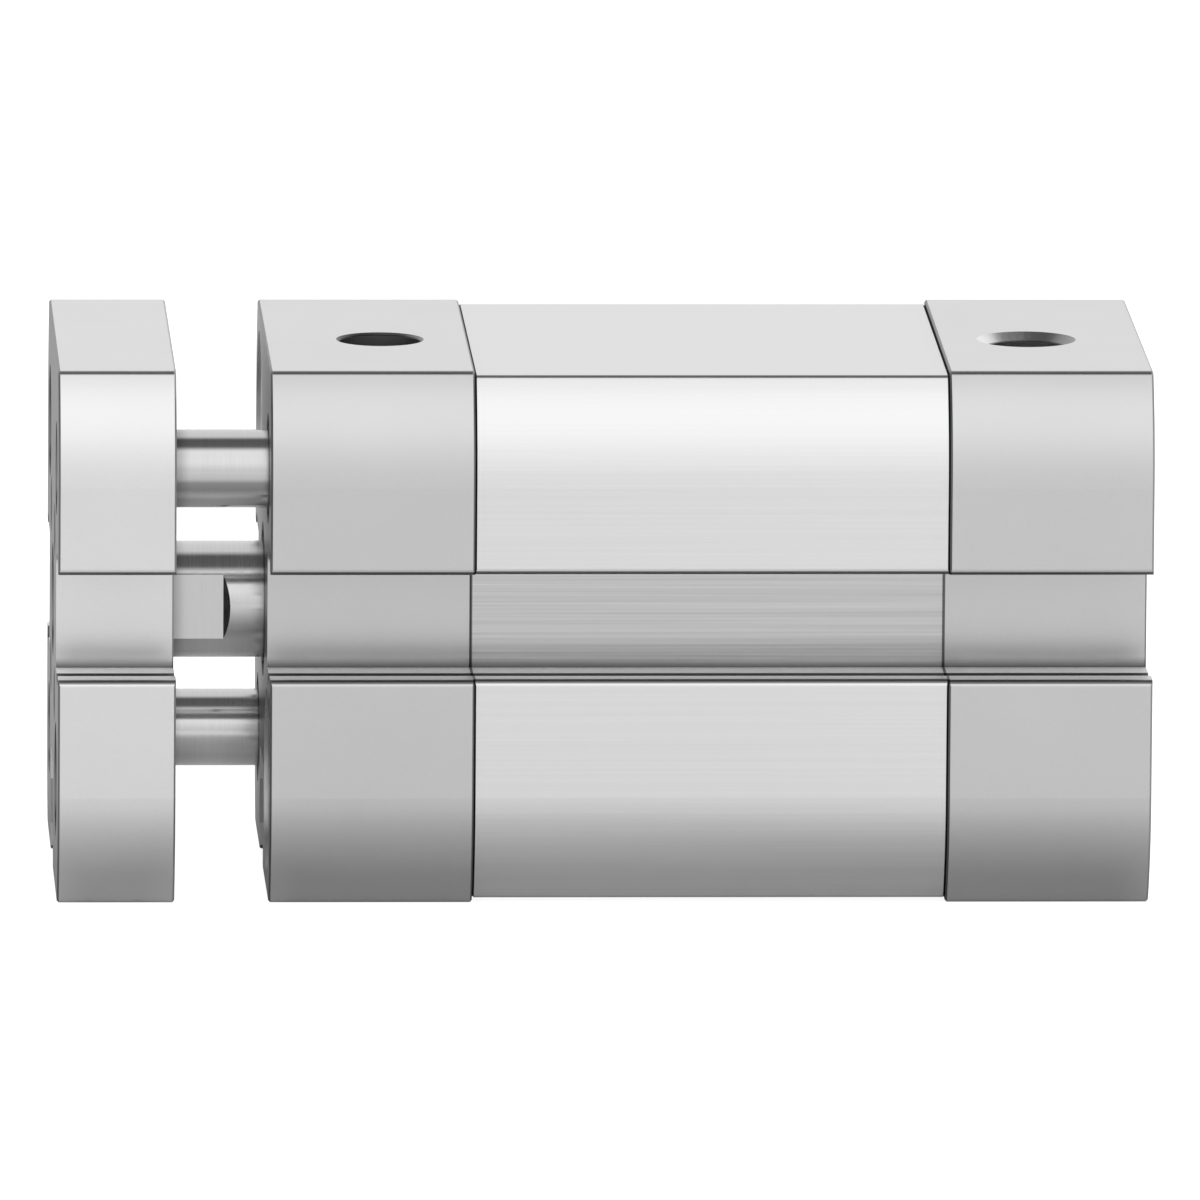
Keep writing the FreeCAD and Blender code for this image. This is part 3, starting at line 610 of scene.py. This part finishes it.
# ---- threads as pieces ---------------------------------------------------------
def thread(name, body, mat, start, direction, radius, pitch, length, height=RIDGE):
    """A helical ridge on the wall of a threaded hole, from start along direction."""
    axis = Vector(direction).normalized()
    side = axis.orthogonal().normalized()
    over = axis.cross(side)
    count = int(length / pitch * THREAD_STEPS)
    verts, faces = [], []
    for i in range(count + 1):
        turn = 2 * math.pi * i / THREAD_STEPS
        out = side * math.cos(turn) + over * math.sin(turn)
        along = pitch * i / THREAD_STEPS
        taper = min(1.0, i / THREAD_STEPS, (count - i) / THREAD_STEPS)
        crest = radius - height * taper
        base = radius + THREAD_SINK
        for r, shift in zip((base, crest, crest, base), RIDGE_SHIFTS):
            verts.append(Vector(start) + axis * (along + shift * pitch) + out * r)
    wide = len(RIDGE_SHIFTS)
    for i in range(count):
        for a in range(wide * i, wide * i + wide - 1):
            faces.append((a, a + 1, a + 1 + wide, a + wide))
    faces += [tuple(reversed(range(wide))), tuple(range(wide * count, wide * count + wide))]
    mesh = bpy.data.meshes.new(name)
    mesh.from_pydata([tuple(v) for v in verts], [], faces)
    mesh.materials.append(mat)
    piece = bpy.data.objects.new(name, mesh)
    bpy.context.scene.collection.objects.link(piece)
    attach(piece, body)


def port_threads(mat):
    """M5 in both ports, below the chamfer."""
    pitch, depth, length = PORT_THREAD
    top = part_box("end_cap")[1].z - depth
    for name in ("port_front", "port_rear"):
        centre, _, radius = round_hole(name)
        thread("thread_" + name, "housing", mat, (centre.x, centre.y, top),
               (0, 0, -1), radius, pitch, length)


def rear_threads(mat):
    """M4 in the rear face."""
    pitch, depth, length = REAR_THREAD
    for i, (centre, _, radius) in enumerate(rear_holes()):
        start = (centre.x - depth, centre.y, centre.z)
        thread("thread_rear_%d" % (i + 1), "housing", mat, start,
               (-1, 0, 0), radius, pitch, length)


def yoke_threads(mat):
    """M3 through the yoke."""
    pitch, depth, length = YOKE_THREAD
    for i, (centre, _, radius) in enumerate(yoke_holes()):
        start = (centre.x + depth, centre.y, centre.z)
        thread("thread_yoke_%d" % (i + 1), "yoke_unit", mat, start,
               (1, 0, 0), radius, pitch, length, FINE_RIDGE)


# ---- room --------------------------------------------------------------------
def make_world():
    """Two soft bands of light along the object with a dark gap overhead, white behind."""
    world = bpy.data.worlds.new("studio")
    bpy.context.scene.world = world
    world.use_nodes = True
    tree = world.node_tree
    direction = add(tree, "TexCoord").outputs["Generated"]
    parts = add(tree, "SeparateXYZ", [(0, direction)]).outputs
    angle = calc(tree, "ARCTAN2", parts[2], calc(tree, "MULTIPLY", parts[1], -1.0))
    turn = calc(tree, "ADD", calc(tree, "DIVIDE", angle, 2 * math.pi), 0.5)
    ramp = add(tree, "ValToRGB", [(0, turn)])
    marks = ramp.color_ramp.elements
    for i, (degrees, value) in enumerate(LIGHT_BANDS):
        position = degrees / 360 + 0.5
        mark = marks[i] if i < 2 else marks.new(position)
        mark.position = position
        mark.color = (value, value, value, 1.0)
    lit = calc(tree, "MULTIPLY", ramp.outputs[0], WORLD_LEVEL)
    seen = add(tree, "LightPath").outputs["Is Camera Ray"]
    tree.links.new(mixed(tree, seen, lit, 1.0), tree.nodes["Background"].inputs["Strength"])
    tree.nodes["Background"].inputs["Color"].default_value = (1, 1, 1, 1)


def distance_outside(tree, boxes):
    """Distance on the floor from the nearest of some boxes."""
    _, xyz = place(tree)
    total = None
    for low, high in boxes:
        squares = []
        for i in (0, 1):
            off = calc(tree, "ABSOLUTE", calc(tree, "SUBTRACT", xyz[i], (low[i] + high[i]) / 2))
            over = calc(tree, "MAXIMUM", calc(tree, "SUBTRACT", off, (high[i] - low[i]) / 2), 0.0)
            squares.append(calc(tree, "POWER", over, 2.0))
        off = calc(tree, "SQRT", calc(tree, "ADD", *squares))
        total = off if total is None else calc(tree, "MINIMUM", total, off)
    return total


def make_floor():
    """Plain pale floor that looks white and keeps the object's shadow; in reflections its added white is
    less round the object's feet, a painted shade.
    """
    z = SIZE_AT_LOAD[0].z
    corners = [(x * FLOOR_HALF, y * FLOOR_HALF, z) for x, y in ((-1, -1), (1, -1), (1, 1), (-1, 1))]
    mesh = bpy.data.meshes.new("floor")
    mesh.from_pydata(corners, [], [(0, 1, 2, 3)])
    floor = bpy.data.objects.new("floor", mesh)
    bpy.context.scene.collection.objects.link(floor)
    mat, tree, shader = new_material("floor", (FLOOR_TONE,) * 3, FLOOR_GLOSS, metallic=0.0)
    path = add(tree, "LightPath").outputs
    gloss = calc(tree, "MAXIMUM", path["Is Glossy Ray"], path["Is Transmission Ray"])
    short = Vector((FOOT_SHORT, 0.0, 0.0))
    feet = [(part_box(first)[0] + short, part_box(last)[1] - short)
            for first, last in (("yoke_plate", "yoke_plate"), ("bearing_cap", "end_cap"))]
    # painted shade: less white is added in reflections near the feet
    reach = calc(tree, "DIVIDE", distance_outside(tree, feet), -FLOOR_REACH)
    shade = calc(tree, "MULTIPLY", calc(tree, "EXPONENT", reach), FLOOR_LIFT_FAR - FLOOR_LIFT_NEAR)
    white = calc(tree, "SUBTRACT", FLOOR_LIFT_FAR, shade)
    lift = calc(tree, "ADD", calc(tree, "MULTIPLY", path["Is Camera Ray"], FLOOR_LIFT_CAMERA),
                calc(tree, "MULTIPLY", gloss, white))
    shader.inputs["Emission Color"].default_value = (1, 1, 1, 1)
    tree.links.new(lift, shader.inputs["Emission Strength"])
    clear = add(tree, "BsdfTransparent")
    under = add(tree, "NewGeometry").outputs["Backfacing"]
    both = add(tree, "MixShader", [(0, under), (1, shader.outputs[0]), (2, clear.outputs[0])])
    tree.links.new(both.outputs[0], tree.nodes["Material Output"].inputs["Surface"])
    mesh.materials.append(mat)


def make_camera():
    data = bpy.data.cameras.new("camera")
    data.sensor_width = SENSOR_WIDTH
    data.lens = LENS
    data.clip_start, data.clip_end = 0.01, 20.0
    camera = bpy.data.objects.new("camera", data)
    bpy.context.scene.collection.objects.link(camera)
    a, e = math.radians(VIEW_AZIMUTH), math.radians(VIEW_ELEVATION)
    back = Vector((math.sin(a) * math.cos(e), -math.cos(a) * math.cos(e), math.sin(e)))
    roll = Quaternion((0, 0, 1), math.radians(VIEW_ROLL))
    camera.rotation_mode = "QUATERNION"
    camera.rotation_quaternion = (-back).to_track_quat("-Z", "Y") @ roll
    camera.location = VIEW_TARGET + back * VIEW_DISTANCE
    bpy.context.scene.camera = camera


# ---- finishes on the pieces --------------------------------------------------
def finish_housing():
    """The barrel and its two caps."""
    face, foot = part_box("bearing_cap")[0].x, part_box("end_cap")[1].x
    front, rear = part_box("barrel")[0].x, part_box("barrel")[1].x
    port_front, port_rear = round_hole("port_front"), round_hole("port_rear")
    dress(["barrel"], drawn_aluminium("barrel drawn", "barrel", BARREL_LOOK, (front, rear)))
    dress(["bearing_cap"], satin_aluminium(
        "bearing cap satin", "bearing_cap", CAP_LOOK, (face, front), joints=(front,),
        tapped=[port_front], chamfer=(port_front, FRONT_CHAMFER_SHADE)))
    dress(["end_cap"], satin_aluminium(
        "end cap satin", "end_cap", CAP_LOOK, (rear, foot), joints=(rear,),
        tapped=[port_rear] + rear_holes(), chamfer=(port_rear, REAR_CHAMFER_LIGHT_AND_SHADE)))


def finish_yoke():
    """The yoke plate and the three rods."""
    face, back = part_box("yoke_plate")[0].x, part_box("yoke_plate")[1].x
    dress(["yoke_plate"], satin_aluminium(
        "yoke satin", "yoke_plate", YOKE_LOOK, (face, back), tapped=yoke_holes(), bored=screw_holes()))
    dress(["piston_rod", "guide_rod_1", "guide_rod_2"], ground_steel("rod steel", ROD_TONE, back))


def finish_small_parts():
    """Screws, seals, bushes and what is inside."""
    dress(["clamp_screw_1", "clamp_screw_2", "yoke_screw", "guide_screw_1", "guide_screw_2",
           "piston_screw"], plated_steel("zinc steel", ZINC_TONE))
    dress(["rod_wiper", "rod_seal", "guide_wiper_1", "guide_wiper_2", "piston_seal_1",
           "piston_seal_2", "face_seal_front", "face_seal_rear"], moulded("black rubber", RUBBER_TONE))
    dress(["front_buffer", "rear_buffer"], moulded("buffer rubber", BUFFER_TONE, 0.5))
    dress(["rod_bush", "guide_bush_1", "guide_bush_2"], turned_metal("bronze", BRONZE_TONE))
    dress(["piston_front", "piston_rear"], turned_metal("turned aluminium", TURNED_TONE, 0.3))
    dress(["magnet"], moulded("magnet", MAGNET_TONE, 0.4, MAGNET_PEBBLE))
    dress(["guide_ring"], moulded("bearing plastic", PLASTIC_TONE, 0.45))


def cut_threads():
    # the dark tone is painted shade inside the holes
    cut = plated_steel("cut thread", CUT_THREAD_SHADE_TONE, 0.36)
    port_threads(cut)
    rear_threads(cut)
    yoke_threads(cut)


finish_housing()
finish_yoke()
finish_small_parts()
cut_threads()
make_world()
make_floor()
make_camera()
bpy.context.scene.view_settings.view_transform = "Standard"
